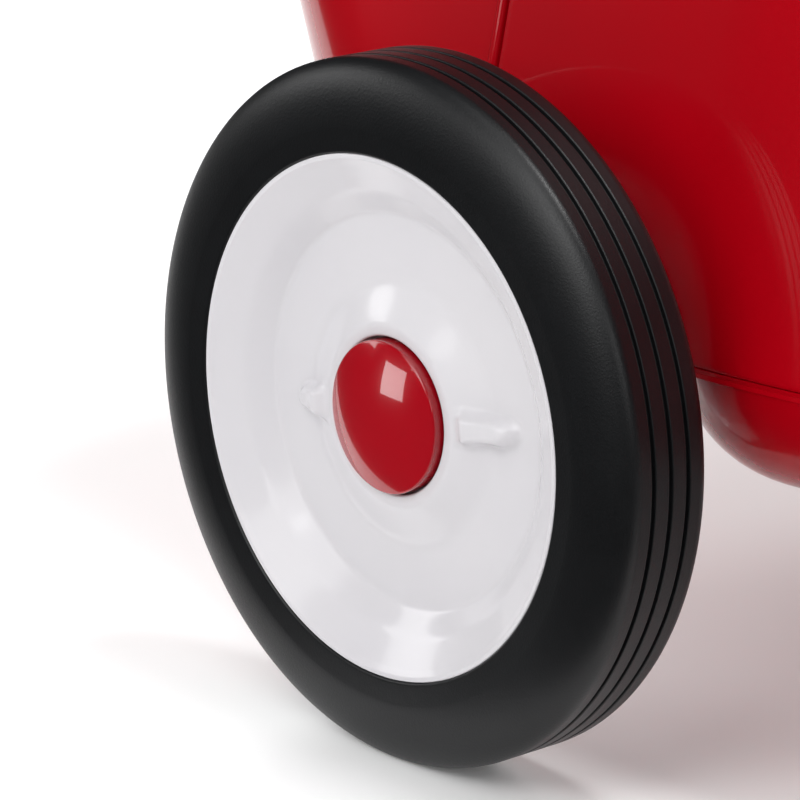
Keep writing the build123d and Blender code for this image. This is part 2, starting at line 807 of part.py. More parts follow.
def tyre_profile():
    """Half of the tyre's section, with three grooves in the tread."""
    seat = disc_sheet / 2
    with BuildSketch() as profile:
        with BuildLine():
            for side in (-1, 1):
                EllipticalCenterArc(
                    (side * tread_half_width, tyre_widest_radius),
                    tyre_half_width - tread_half_width,
                    tyre_radius - tyre_widest_radius,
                    start_angle=0 if side > 0 else 90,
                    arc_size=90,
                )
                ThreePointArc(
                    (side * rim_lip, rim_radius),
                    (side * (tyre_half_width - 0.25), (rim_radius + tyre_widest_radius) / 2),
                    (side * tyre_half_width, tyre_widest_radius),
                )
            Line((-tread_half_width, tyre_radius), (tread_half_width, tyre_radius))
            Line((-rim_lip, rim_radius), (rim_lip, rim_radius))
        make_face()
        with Locations(*[(k * groove_spacing, tyre_radius) for k in (-1, 0, 1)]):
            Rectangle(groove_width, 2 * groove_depth, mode=Mode.SUBTRACT)
    return profile.sketch


def sheet_profile(points):
    """A pressed sheet's section about its middle line, with rounded bends."""
    with BuildSketch() as profile:
        with BuildLine() as middle:
            FilletPolyline(*points, radius=disc_bend)
        trace(middle.line, line_width=disc_sheet)
    return profile.sketch


half_sheet = disc_sheet / 2
barrel = rim_radius - half_sheet
outer_disc_profile = sheet_profile([
    (recess_face - half_sheet, hub_sleeve_radius),
    (recess_face - half_sheet, cap_radius + cap_gap + half_sheet),
    (boss_face - half_sheet, cap_radius + cap_gap + half_sheet),
    (boss_face - half_sheet, boss_radius),
    (dish_face - half_sheet, boss_radius + 12),
    (dish_face - half_sheet, dish_radius),
    ((dish_face + rim_lip) / 2 - 1, (dish_radius + barrel) / 2 - 1),
    (rim_lip - half_sheet - 1, barrel - 4),
    (rim_lip - half_sheet, barrel - 2.2),
    (rim_lip - half_sheet, barrel),
    (0, barrel),
])
inner_disc_profile = sheet_profile([
    (inner_disc_face, hub_sleeve_radius),
    (inner_disc_face, boss_radius),
    (inner_disc_face + 6, boss_radius + 16),
    (inner_disc_face + 6, dish_radius),
    (-rim_lip + half_sheet, barrel - 4),
    (-rim_lip + half_sheet, barrel),
    (0, barrel),
])
with BuildSketch() as cap_profile:
    with BuildLine():
        Polyline((cap_edge - cap_sheet, cap_radius - cap_sheet), (recess_face, cap_radius - cap_sheet),
                 (recess_face, cap_radius), (cap_edge, cap_radius))
        outer_dome = EllipticalCenterArc((cap_edge, 0), cap_dome, cap_radius, arc_size=90)
        inner_dome = EllipticalCenterArc(
            (cap_edge - cap_sheet, 0), cap_dome, cap_radius - cap_sheet, arc_size=90
        )
        Line(outer_dome @ 0, inner_dome @ 0)
    make_face()


def bump_lift(x, side, turn):
    """The two radial bumps pressed out of a disc, either side of its boss."""
    base = Plane(origin=(x, side * half_track, wheel_height), x_dir=(1, 0, 0), z_dir=(0, side, 0))
    inner = boss_radius + bump_width / 2
    outer = bump_tip_radius - bump_width / 2
    with BuildPart() as lift:
        with BuildSketch(base.offset(dish_face - half_sheet)):
            with PolarLocations((inner + outer) / 2, 2, start_angle=side * -turn):
                SlotCenterToCenter(outer - inner, bump_width)
        extrude(amount=half_sheet + bump_height)
        far = lift.faces().sort_by(Axis.Y)[-2:] if side > 0 else lift.faces().sort_by(Axis.Y)[:2]
        fillet(far.edges(), bump_height * 0.8)
    return lift.part


for place, (x, side) in wheel_places.items():
    tyre = turned_wheel_part(x, side, tyre_profile())
    save(tyre, f"{place}_tyre")
    with BuildPart() as disc:
        add(turned_wheel_part(x, side, outer_disc_profile))
        add(bump_lift(x, side, wheel_turns[place]))
    save(disc.part, f"{place}_disc")
    save(turned_wheel_part(x, side, inner_disc_profile), f"{place}_back_disc")
    save(turned_wheel_part(x, side, cap_profile.sketch), f"{place}_hub_cap")
    hub = turned_y(x, side * half_track, wheel_height,
                   [(hub_inner_end, hub_outer_end - hub_inner_end, hub_sleeve_radius, bushing_radius)])
    save(hub, f"{place}_hub")
    bushings = group([
        turned_y(x, side * half_track, wheel_height, [
            (hub_outer_end - bushing_reach, bushing_reach, bushing_radius, bushing_bore),
            (hub_outer_end, bushing_flange, bushing_flange_radius, bushing_bore),
        ]),
        turned_y(x, side * half_track, wheel_height, [
            (hub_inner_end, bushing_reach, bushing_radius, bushing_bore),
            (hub_inner_end - bushing_flange, bushing_flange, bushing_flange_radius, bushing_bore),
        ]),
    ])
    save(bushings, f"{place}_bushings")
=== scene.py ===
"""Looks of a child's pressed-steel pull wagon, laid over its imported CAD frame.

The wheels and the tub's enamelled panels are built here as fine surfaces that stand for their CAD
nodes;
axles, bolts, steering links and the grip keep their CAD meshes and get their finishes. Lengths in the
dataclasses are millimetres and become metres when a mesh is made.
"""

import json
import logging
import math
from dataclasses import dataclass, field
from enum import Enum
from typing import Callable, Sequence

import bmesh
import bpy
import numpy as np
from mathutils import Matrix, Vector


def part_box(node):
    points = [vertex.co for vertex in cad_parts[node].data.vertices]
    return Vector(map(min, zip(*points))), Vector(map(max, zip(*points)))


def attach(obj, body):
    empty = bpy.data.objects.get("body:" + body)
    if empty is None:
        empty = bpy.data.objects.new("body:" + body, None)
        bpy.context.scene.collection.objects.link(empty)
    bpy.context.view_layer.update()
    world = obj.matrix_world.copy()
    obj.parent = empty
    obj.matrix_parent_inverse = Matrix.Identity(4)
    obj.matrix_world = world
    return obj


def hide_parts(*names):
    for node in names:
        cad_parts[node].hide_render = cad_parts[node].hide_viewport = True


MM = 0.001
SAME_POINT = 1e-7
TINY = 1e-9
NO_LENGTH = 1e-6
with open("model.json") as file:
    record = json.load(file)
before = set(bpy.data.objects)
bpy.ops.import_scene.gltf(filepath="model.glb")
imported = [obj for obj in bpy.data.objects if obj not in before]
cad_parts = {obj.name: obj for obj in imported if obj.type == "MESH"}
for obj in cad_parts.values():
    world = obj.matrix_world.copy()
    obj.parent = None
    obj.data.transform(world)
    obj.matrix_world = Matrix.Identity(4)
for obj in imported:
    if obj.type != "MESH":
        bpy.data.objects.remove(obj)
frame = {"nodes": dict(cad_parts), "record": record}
log = logging.getLogger("wagon")
Socket = bpy.types.NodeSocket


class Side(Enum):
    """The wagon's two sides, as the sign of Y."""

    RIGHT = -1
    LEFT = 1


# ------------------------------------------------------------------ colour and node helpers
def srgb(hex_colour: str) -> tuple[float, float, float, float]:
    """Turns an sRGB hex colour into linear RGBA.

    Args:
        hex_colour: six hex digits, with or without a leading #.

    Returns:
        Linear red, green, blue and an alpha of 1.
    """
    digits = hex_colour.lstrip("#")
    parts = [int(digits[i : i + 2], 16) / 255 for i in (0, 2, 4)]
    linear = [c / 12.92 if c <= 0.04045 else ((c + 0.055) / 1.055) ** 2.4 for c in parts]
    return (*linear, 1.0)


@dataclass
class NodeBook:
    """A material's node tree, with one way to add a node, its settings and its links."""

    tree: bpy.types.NodeTree

    def add(
        self, kind: str, links: dict | None = None, values: dict | None = None, **settings
    ) -> bpy.types.Node:
        """Adds a node.

        Args:
            kind: the node's type name.
            links: input name or index to the output socket that feeds it.
            values: input name or index to a constant.
            settings: attributes of the node itself.

        Returns:
            The new node.
        """
        node = self.tree.nodes.new(kind)
        for name, value in settings.items():
            setattr(node, name, value)
        for key, value in (values or {}).items():
            node.inputs[key].default_value = value
        for key, socket in (links or {}).items():
            self.tree.links.new(socket, node.inputs[key])
        return node

    def noise(
        self, vector: Socket, scale_mm: float, detail: float = 3.0, roughness: float = 0.55
    ) -> Socket:
        """Adds a noise.

        Args:
            vector: the place it is read at.
            scale_mm: about how wide its features are.
            detail: how many finer layers it has.
            roughness: how strong the finer layers are.

        Returns:
            The socket of its value.
        """
        node = self.add(
            "ShaderNodeTexNoise",
            {"Vector": vector},
            {"Scale": 1000.0 / scale_mm, "Detail": detail, "Roughness": roughness},
        )
        return node.outputs["Fac"]

    def remap(self, value: Socket, low: float, high: float, to_low: float, to_high: float) -> Socket:
        """Maps a value from one range to another, clamped.

        Args:
            value: the value's socket.
            low: the value that becomes to_low.
            high: the value that becomes to_high.
            to_low: the new low end.
            to_high: the new high end.

        Returns:
            The socket of the mapped value.
        """
        node = self.add(
            "ShaderNodeMapRange",
            {"Value": value},
            {"From Min": low, "From Max": high, "To Min": to_low, "To Max": to_high},
        )
        return node.outputs["Result"]

    def mix_colour(self, factor: Socket, a: tuple, b: tuple) -> Socket:
        """Blends two constant colours.

        Args:
            factor: 0 for the first colour, 1 for the second.
            a: the first colour.
            b: the second colour.

        Returns:
            The socket of the blended colour.
        """
        node = self.add("ShaderNodeMix", {0: factor}, {6: a, 7: b}, data_type="RGBA")
        return node.outputs[2]

    def bump(
        self, height: Socket, strength: float, distance_mm: float, normal: Socket | None = None
    ) -> Socket:
        """Adds a bump.

        Args:
            height: the height's socket.
            strength: how much of the bump shows.
            distance_mm: how high a height of 1 is.
            normal: a bump that it lies over.

        Returns:
            The socket of the bumped normal.
        """
        links = {"Height": height}
        if normal is not None:
            links["Normal"] = normal
        node = self.add(
            "ShaderNodeBump", links, {"Strength": strength, "Distance": distance_mm * MM}
        )
        return node.outputs["Normal"]


def new_material(name: str) -> tuple[bpy.types.Material, NodeBook, bpy.types.Node]:
    """Starts a material.

    Args:
        name: what the material is.

    Returns:
        The material, its node book and its Principled shader.
    """
    material = bpy.data.materials.new(name)
    material.use_nodes = True
    shader = material.node_tree.nodes["Principled BSDF"]
    return material, NodeBook(material.node_tree), shader


# ------------------------------------------------------------------ finishes
@dataclass(frozen=True)
class Enamel:
    """Baked gloss enamel on pressed steel: colour, a clear wet top and a faint orange peel."""

    name: str
    colour: str
    deep: str
    roughness: float = 0.22
    peel_mm: float = 7.0
    peel_depth_mm: float = 0.006
    coat: float = 0.6
    coat_roughness: float = 0.035

    def build(self) -> bpy.types.Material:
        """Builds the material.

        Returns:
            The enamel, with long-wave peel in its reflections and dust-fine roughness changes.
        """
        material, book, shader = new_material(self.name)
        where = book.add("ShaderNodeTexCoord").outputs["Object"]
        broad = book.noise(where, 90.0, 2.0)
        fine = book.noise(where, 0.9, 2.0)
        peel = book.noise(where, self.peel_mm, 1.5, 0.4)
        depth = book.remap(broad, 0.3, 0.7, 0.0, 1.0)
        colour = book.mix_colour(depth, srgb(self.colour), srgb(self.deep))
        rough = book.remap(fine, 0.35, 0.75, self.roughness * 0.85, self.roughness * 1.2)
        top = book.bump(peel, 1.0, self.peel_depth_mm)
        links = book.tree.links
        links.new(colour, shader.inputs["Base Color"])
        links.new(rough, shader.inputs["Roughness"])
        links.new(top, shader.inputs["Coat Normal"])
        shader.inputs["Coat Weight"].default_value = self.coat
        shader.inputs["Coat Roughness"].default_value = self.coat_roughness
        shader.inputs["Coat IOR"].default_value = 1.5
        shader.inputs["Specular IOR Level"].default_value = 0.15
        return material


@dataclass(frozen=True)
class Rubber:
    """Moulded solid rubber: near-black, a fine sandy grain from the mould and a broad soft sheen."""

    name: str
    colour: str
    bloom: str
    roughness: float = 0.4
    grain_mm: float = 0.55
    grain_depth_mm: float = 0.08

    def build(self) -> bpy.types.Material:
        """Builds the material.

        Returns:
            The rubber, with the mould's grain as bump and a faint grey bloom over it.
        """
        material, book, shader = new_material(self.name)
        where = book.add("ShaderNodeTexCoord").outputs["Object"]
        bloom = book.noise(where, 38.0, 4.0)
        grain = book.noise(where, self.grain_mm, 2.0, 0.6)
        pores = book.add(
            "ShaderNodeTexVoronoi", {"Vector": where}, {"Scale": 1000.0 / (self.grain_mm * 1.7)}
        ).outputs["Distance"]
        haze = book.remap(bloom, 0.35, 0.75, 0.0, 1.0)
        colour = book.mix_colour(haze, srgb(self.colour), srgb(self.bloom))
        rough = book.remap(grain, 0.3, 0.7, self.roughness * 0.9, self.roughness * 1.12)
        sand = book.bump(grain, 0.5, self.grain_depth_mm)
        skin = book.bump(pores, 0.35, self.grain_depth_mm, sand)
        links = book.tree.links
        links.new(colour, shader.inputs["Base Color"])
        links.new(rough, shader.inputs["Roughness"])
        links.new(skin, shader.inputs["Normal"])
        shader.inputs["Specular IOR Level"].default_value = 0.36
        return material


@dataclass(frozen=True)
class ZincPlate:
    """Bright zinc plating: a silvery metal with a slight blue cast, clouded by handling."""

    name: str
    colour: str
    clouded: str
    roughness: float = 0.3

    def build(self) -> bpy.types.Material:
        """Builds the material.

        Returns:
            The plated steel, cloudy at a few millimetres and finely scratched.
        """
        material, book, shader = new_material(self.name)
        where = book.add("ShaderNodeTexCoord").outputs["Object"]
        cloud = book.noise(where, 6.0, 4.0)
        scratch = book.noise(where, 0.4, 2.0)
        colour = book.mix_colour(cloud, srgb(self.colour), srgb(self.clouded))
        rough = book.remap(scratch, 0.3, 0.7, self.roughness * 0.8, self.roughness * 1.3)
        links = book.tree.links
        links.new(colour, shader.inputs["Base Color"])
        links.new(rough, shader.inputs["Roughness"])
        links.new(book.bump(scratch, 0.3, 0.01), shader.inputs["Normal"])
        shader.inputs["Metallic"].default_value = 1.0
        return material


@dataclass(frozen=True)
class Moulding:
    """Injection-moulded or dipped plastic with a fine even texture."""

    name: str
    colour: str
    shade: str
    roughness: float = 0.5
    texture_mm: float = 0.8
    depth_mm: float = 0.02
    translucency: float = 0.0

    def build(self) -> bpy.types.Material:
        """Builds the material.

        Returns:
            The plastic, with a mould texture and a little light inside if it is translucent.
        """
        material, book, shader = new_material(self.name)
        where = book.add("ShaderNodeTexCoord").outputs["Object"]
        broad = book.noise(where, 25.0, 3.0)
        texture = book.noise(where, self.texture_mm, 2.0)
        colour = book.mix_colour(broad, srgb(self.colour), srgb(self.shade))
        rough = book.remap(texture, 0.3, 0.7, self.roughness * 0.9, self.roughness * 1.1)
        links = book.tree.links
        links.new(colour, shader.inputs["Base Color"])
        links.new(rough, shader.inputs["Roughness"])
        links.new(book.bump(texture, 0.4, self.depth_mm), shader.inputs["Normal"])
        shader.inputs["Subsurface Weight"].default_value = self.translucency
        shader.inputs["Subsurface Scale"].default_value = 2.0 * MM
        return material


RED_ENAMEL = Enamel("red_baked_enamel_on_pressed_steel", "#A80010", "#A0000E")
WHITE_ENAMEL = Enamel(
    "white_baked_enamel_on_pressed_steel",
    "#D4D2D5",
    "#D0CED2",
    peel_mm=9.0,
    peel_depth_mm=0.004,
    coat=0.45,
    coat_roughness=0.1,
)
RED_CAP = Enamel(
    "red_gloss_enamel_on_drawn_cap",
    "#9C0012",
    "#920010",
    peel_depth_mm=0.001,
    coat=1.0,
    coat_roughness=0.03,
)
BLACK_ENAMEL = Enamel(
    "black_satin_enamel_on_steel",
    "#0C0C0D",
    "#121214",
    roughness=0.42,
    peel_mm=3.0,
    peel_depth_mm=0.02,
    coat=0.25,
    coat_roughness=0.25,
)
TYRE_RUBBER = Rubber("black_moulded_solid_rubber", "#0D0E10", "#121315")
ZINC = ZincPlate("bright_zinc_plated_steel", "#C9CDD2", "#A9AEB4")
NYLON = Moulding("natural_moulded_nylon", "#DAD6C8", "#CFC9B8", 0.45, translucency=0.15)
VINYL = Moulding("black_dipped_vinyl_grip", "#151516", "#1C1C1E", 0.55, depth_mm=0.06)


# ------------------------------------------------------------------ meshes on grids
def grid_quads(index: np.ndarray) -> np.ndarray:
    """Joins a grid of point numbers into four-sided faces.

    Args:
        index: rows by columns of point numbers.

    Returns:
        Faces by 4.
    """
    quads = np.stack([index[:-1, :-1], index[:-1, 1:], index[1:, 1:], index[1:, :-1]], axis=-1)
    return quads.reshape(-1, 4)


def grid_object(
    name: str,
    points: np.ndarray,
    finish: bpy.types.Material,
    close_rows: bool = False,
    close_columns: bool = False,
    flip: bool = False,
) -> bpy.types.Object:
    """Makes a smooth mesh from a grid of points.

    Args:
        name: the object's name.
        points: rows by columns by 3, in millimetres, in the wagon's frame.
        finish: its material.
        close_rows: joins the last row to the first.
        close_columns: joins the last column to the first.
        flip: turns every face over.

    Returns:
        The object, at the origin.
    """
    rows, columns = points.shape[:2]
    index = np.arange(rows * columns).reshape(rows, columns)
    if close_rows:
        index = np.vstack([index, index[:1]])
    if close_columns:
        index = np.hstack([index, index[:, :1]])
    quads = grid_quads(index)
    if flip:
        quads = quads[:, ::-1]
    return mesh_object(name, points.reshape(-1, 3), quads, finish)


def mesh_object(
    name: str, points: np.ndarray, quads: np.ndarray, finish: bpy.types.Material
) -> bpy.types.Object:
    """Makes a smooth mesh object.

    Args:
        name: the object's name.
        points: points by 3, in millimetres.
        quads: faces by 4, as numbers of points.
        finish: its material.

    Returns:
        The object, at the origin.
    """
    mesh = bpy.data.meshes.new(name)
    mesh.vertices.add(len(points))
    mesh.vertices.foreach_set("co", (points * MM).astype(np.float32).ravel())
    mesh.loops.add(quads.size)
    mesh.loops.foreach_set("vertex_index", quads.astype(np.int32).ravel())
    mesh.polygons.add(len(quads))
    mesh.polygons.foreach_set("loop_start", np.arange(0, quads.size, 4, dtype=np.int32))
    mesh.polygons.foreach_set("loop_total", np.full(len(quads), 4, dtype=np.int32))
    mesh.update(calc_edges=True)
    mesh.validate()
    mesh.shade_smooth()
    mesh.materials.append(finish)
    made = bpy.data.objects.new(name, mesh)
    bpy.context.scene.collection.objects.link(made)
    return made


def corner_circle(
    before: np.ndarray, corner: np.ndarray, after: np.ndarray, radius: float
) -> tuple[np.ndarray, np.ndarray, np.ndarray, float]:
    """Finds the circle that rounds a corner between two neighbours.

    Args:
        before: the neighbour on one side.
        corner: the sharp corner.
        after: the neighbour on the other side.
        radius: the circle's radius.

    Returns:
        The circle's middle, where it leaves and meets the straight runs, and its angle in radians.
    """
    back = (before - corner) / np.linalg.norm(before - corner)
    ahead = (after - corner) / np.linalg.norm(after - corner)
    bend = math.pi - math.acos(float(np.clip(back @ ahead, -1, 1)))
    reach = radius * math.tan(bend / 2)
    inward = (back + ahead) / max(np.linalg.norm(back + ahead), TINY)
    centre = corner + inward * (radius / max(math.cos(bend / 2), TINY))
    return centre, corner + back * reach, corner + ahead * reach, bend


def swing(first: np.ndarray, last: np.ndarray, bend: float, share: np.ndarray) -> np.ndarray:
    """Turns a spoke of a circle from its first place to its last.

    Args:
        first: the spoke at the start.
        last: the spoke at the end.
        bend: the angle between them, in radians.
        share: how far round each answer is, 0 to 1.

    Returns:
        A spoke for each share.
    """
    fading, growing = np.sin((1 - share) * bend)[:, None], np.sin(share * bend)[:, None]
    return (fading * first + growing * last) / math.sin(bend)


def corner_arc(
    before: np.ndarray, corner: np.ndarray, after: np.ndarray, radius: float, count: int
) -> np.ndarray:
    """Samples the arc that rounds a corner between two neighbours.

    Args:
        before: the neighbour on one side.
        corner: the sharp corner.
        after: the neighbour on the other side.
        radius: the arc's radius.
        count: how many points it gets, ends included.

    Returns:
        Points by 2.
    """
    centre, start, stop, bend = corner_circle(before, corner, after, radius)
    return centre + swing(start - centre, stop - centre, bend, np.linspace(0, 1, count))


def rounded_path(
    corners: Sequence[tuple[float, float, float]], step: float = 2.0, turn: float = 9.0
) -> np.ndarray:
    """Samples a path of straight runs whose corners are rounded.

    Each corner is (x, y, radius). A straight run has a point close to each bend, so that smooth shading
    keeps the run flat, and points every step between; a bend has a point every turn degrees.

    Args:
        corners: the path's corners in order; the radius of the first and last is ignored.
        step: longest spacing on the straight runs.
        turn: angle between points on the bends.

    Returns:
        Points by 2.
    """
    sharp = np.array([c[:2] for c in corners], float)
    points, end = [sharp[0]], sharp[0]
    for k in range(1, len(corners) - 1):
        radius = corners[k][2]
        centre, start, stop, bend = corner_circle(sharp[k - 1], sharp[k], sharp[k + 1], radius)
        count = max(2, math.ceil(math.degrees(bend) / turn))
        inner = swing(start - centre, stop - centre, bend, np.linspace(0, 1, count + 1)[1:-1])
        points += straight_run(end, start, step, radius)
        points += [start, *(centre + inner), stop]
        end = stop
    points += straight_run(end, sharp[-1], step, corners[-2][2])
    points.append(sharp[-1])
    return np.array(points)


def straight_run(start: np.ndarray, stop: np.ndarray, step: float, radius: float) -> list[np.ndarray]:
    """Points strictly between two ends: one near each end and the rest every step.

    Args:
        start: the run's first end.
        stop: its other end.
        step: longest spacing.
        radius: radius of the bend beside it, which sets how near the outer points are.

    Returns:
        The points in order, none for a run of no length.
    """
    length = float(np.linalg.norm(stop - start))
    near = min(0.25 * max(radius, 0.4), length / 4)
    if length < NO_LENGTH:
        return []
    inner = np.linspace(near, length - near, max(2, math.ceil((length - 2 * near) / step) + 1))
    return [start + (stop - start) * (s / length) for s in inner]


def revolve(
    section: np.ndarray,
    centre: Sequence[float],
    side: Side,
    columns: int,
    lift: Callable[[np.ndarray, np.ndarray], np.ndarray] | None = None,
) -> np.ndarray:
    """Turns a section about a wheel's axis.

    A point (u, r) goes to u outboard of the wheel's middle and r from the axle, at each of the columns'
    angles; lift adds to u as a function of radius and angle.

    Args:
        section: points by 2, outboard offset then radius.
        centre: the wheel's middle.
        side: which side outboard is.
        columns: points round the wheel.
        lift: an outboard offset from radius and angle.

    Returns:
        Section points by columns by 3.
    """
    angle = np.linspace(0, 2 * math.pi, columns, endpoint=False)
    out = np.repeat(section[:, :1], columns, axis=1)
    radius = np.repeat(section[:, 1:], columns, axis=1)
    if lift is not None:
        out = out + lift(radius, np.broadcast_to(angle, radius.shape))
    return np.stack(
        [
            centre[0] + radius * np.cos(angle),
            centre[1] + side.value * out,
            centre[2] + radius * np.sin(angle),
        ],
        axis=-1,
    )


def smoothstep(x: np.ndarray) -> np.ndarray:
    """Eases from 0 to 1 with level ends: 3x^2 - 2x^3, clamped.

    Args:
        x: how far along, 0 to 1 between the level ends.

    Returns:
        The eased share.
    """
    t = np.clip(x, 0.0, 1.0)
    return t * t * (3 - 2 * t)


# ------------------------------------------------------------------ wheels
@dataclass
class Wheel:
    """One wheel: a solid rubber tyre, a pressed white disc with two bumps, and a domed red cap."""

    place: str
    side: Side
    bump_angle: float
    columns: int = 384
    tyre_radius: float = 127.0
    tyre_half_width: float = 23.1
    widest_radius: float = 103.0
    tread_half_width: float = 13.2
    groove_spacing: float = 7.95
    groove_width: float = 1.9
    groove_depth: float = 1.8
    groove_edge: float = 0.45
    bead_radius: float = 94.3
    rim_lip: float = 22.1
    dish_radius: float = 71.3
    dish_face: float = 7.6
    dish_round: float = 3.5
    flange_round: float = 18.0
    boss_foot: float = 47.5
    boss_foot_round: float = 14.0
    boss_round: float = 5.0
    boss_lip: float = 14.2
    recess_radius: float = 28.45
    hub_radius: float = 12.0
    barrel: float = 94.2
    disc_sheet: float = 1.5
    bump_height: float = 5.6
    bump_half_width: float = 5.8
    bump_flare: float = 2.6
    bump_point: float = 1.6
    bump_root: float = 35.0
    bump_tips: tuple[float, float] = (61.5, 56.0)
    cap_radius: float = 27.6
    cap_edge: float = 17.4
    cap_top: float = 22.8
    cap_edge_width: float = 1.5

    def centre(self) -> tuple[float, float, float]:
        """The wheel's middle, in millimetres, from its tyre's box."""
        low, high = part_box(f"{self.place}_tyre")
        return tuple((low[i] + high[i]) / 2 / MM for i in range(3))

    def tyre_section(self) -> np.ndarray:
        """The tyre's section: bead, sidewall, elliptical shoulder and a tread with three grooves."""
        bead = rounded_path(
            [
                (0.0, self.bead_radius, 0),
                (self.rim_lip + 0.35, self.bead_radius, 1.1),
                (self.tyre_half_width, self.widest_radius, 0),
            ]
        )
        turn = np.linspace(0, math.pi / 2, 22)
        shoulder = np.stack(
            [
                self.tread_half_width + (self.tyre_half_width - self.tread_half_width) * np.cos(turn),
                self.widest_radius + (self.tyre_radius - self.widest_radius) * np.sin(turn),
            ],
            axis=-1,
        )
        top, floor = self.tyre_radius, self.tyre_radius - self.groove_depth
        half, edge = self.groove_width / 2, self.groove_edge
        foot = half * 0.8
        corners = [(self.tread_half_width, top, 0)]
        for middle in (self.groove_spacing, 0.0):
            corners += [(middle + half, top, edge), (middle + foot, floor, edge)]
            if middle:
                corners += [(middle - foot, floor, edge), (middle - half, top, edge)]
        tread = rounded_path(corners + [(0.0, floor, 0)], step=3.0, turn=22.0)
        outer = np.vstack([bead, shoulder[1:], tread[1:]])
        inner = outer[-2:0:-1] * [-1, 1]
        return np.vstack([outer, inner])

    def disc_section(self) -> np.ndarray:
        """The disc's section: recess, boss, dish, flange, rolled lip and barrel, then its back."""
        lip, sheet, dish = self.rim_lip, self.disc_sheet, self.dish_face
        front = rounded_path(
            [
                (dish, self.hub_radius, 0),
                (dish, self.recess_radius, 0.7),
                (self.boss_lip, self.recess_radius, 1.0),
                (self.boss_lip + 0.1, self.recess_radius + 4.4, self.boss_round),
                (dish + 0.3, self.boss_foot, self.boss_foot_round),
                (dish, self.dish_radius, self.dish_round),
                (14.6, 79.8, self.flange_round),
                (20.6, 90.2, 2.2),
                (lip - 0.15, 92.4, 1.0),
                (lip, self.barrel, 0.6),
                (0.0, self.barrel, 0),
            ]
        )
        back = rounded_path(
            [
                (0.0, self.barrel - sheet, 0),
                (lip - 2.2, self.barrel - sheet, 0.6),
                (13.2, 80.8, self.flange_round),
                (dish - sheet, self.dish_radius + 0.6, self.dish_round),
                (dish - sheet, self.boss_foot - 0.5, self.boss_foot_round),
                (self.boss_lip - sheet, self.recess_radius + 4.0, self.boss_round),
                (self.boss_lip - sheet, self.recess_radius + sheet, 0.5),
                (dish - sheet, self.recess_radius + sheet, 0.7),
                (dish - sheet, self.hub_radius, 0),
            ],
            turn=18.0,
        )
        return np.vstack([front, back])

    def bump_lift(self, radius: np.ndarray, angle: np.ndarray) -> np.ndarray:
        """The two radial bumps: a rounded ridge across, easing up out of the boss and off at its tip.

        Args:
            radius: distance from the axle.
            angle: angle round the wheel, in radians.

        Returns:
            How far the disc is raised at each point.
        """
        lift = np.zeros_like(radius)
        for start, tip in zip((0.0, 180.0), self.bump_tips):
            turned = angle - math.radians(self.bump_angle + start)
            along, across = radius * np.cos(turned), radius * np.sin(turned)
            flare = self.bump_flare * smoothstep((self.bump_root + 12.0 - along) / 16.0)
            half = self.bump_half_width + flare
            ahead = np.maximum(along - (tip - self.bump_half_width * self.bump_point), 0.0)
            reach = np.sqrt(across**2 + (ahead / self.bump_point) ** 2) / half
            rise = smoothstep((along - self.bump_root + 1.5) / 8.0)
            ridge = smoothstep(1.5 * (1.12 - reach)) * rise
            lift = np.maximum(lift, self.bump_height * ridge)
        return lift

    def cap_section(self) -> np.ndarray:
        """The cap's section: skirt, rounded edge and a ball-shaped dome that closes on the axis."""
        rise = self.cap_top - self.cap_edge
        ball = (self.cap_radius**2 + rise**2) / (2 * rise)
        turn = np.linspace(math.asin((self.cap_radius - self.cap_edge_width) / ball), 0.0, 26)
        dome = np.stack([self.cap_top - ball * (1 - np.cos(turn)), ball * np.sin(turn)], axis=-1)
        skirt = rounded_path(
            [
                (self.dish_face, self.cap_radius, 0),
                (self.cap_edge, self.cap_radius, 1.0),
                tuple(dome[0]) + (0.0,),
            ],
            turn=12.0,
        )
        return np.vstack([skirt, dome[1:-1], [[self.cap_top, 0.0]]])

    def build(self) -> int:
        """Builds the wheel's shown pieces on its body.

        Returns:
            How many pieces were made.
        """
        centre, flip = self.centre(), self.side is Side.RIGHT
        body = f"{self.place}_wheel"
        pieces = [
            ("tyre", self.tyre_section(), FINISH["tyre"], None, True, "tyre"),
            ("disc", self.disc_section(), FINISH["white"], self.bump_lift, True, "white_enamel"),
            ("hub_cap", self.cap_section(), FINISH["cap"], None, False, "red_cap"),
        ]
        for name, section, finish, lift, closed, slot in pieces:
            points = revolve(section, centre, self.side, self.columns, lift)
            made = grid_object(
                f"{self.place}_{name}_surface",
                points,
                finish,
                close_rows=closed,
                close_columns=True,
                flip=flip,
            )
            if not closed:
                close_pole(made)
            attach(made, body)
            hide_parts(f"{self.place}_{name}")
        return len(pieces)


def close_pole(made: bpy.types.Object) -> None:
    """Joins the points that meet on an axis into one.

    Args:
        made: the object whose mesh is closed.
    """
    work = bmesh.new()
    work.from_mesh(made.data)
    bmesh.ops.remove_doubles(work, verts=work.verts, dist=SAME_POINT)
    work.to_mesh(made.data)
    work.free()


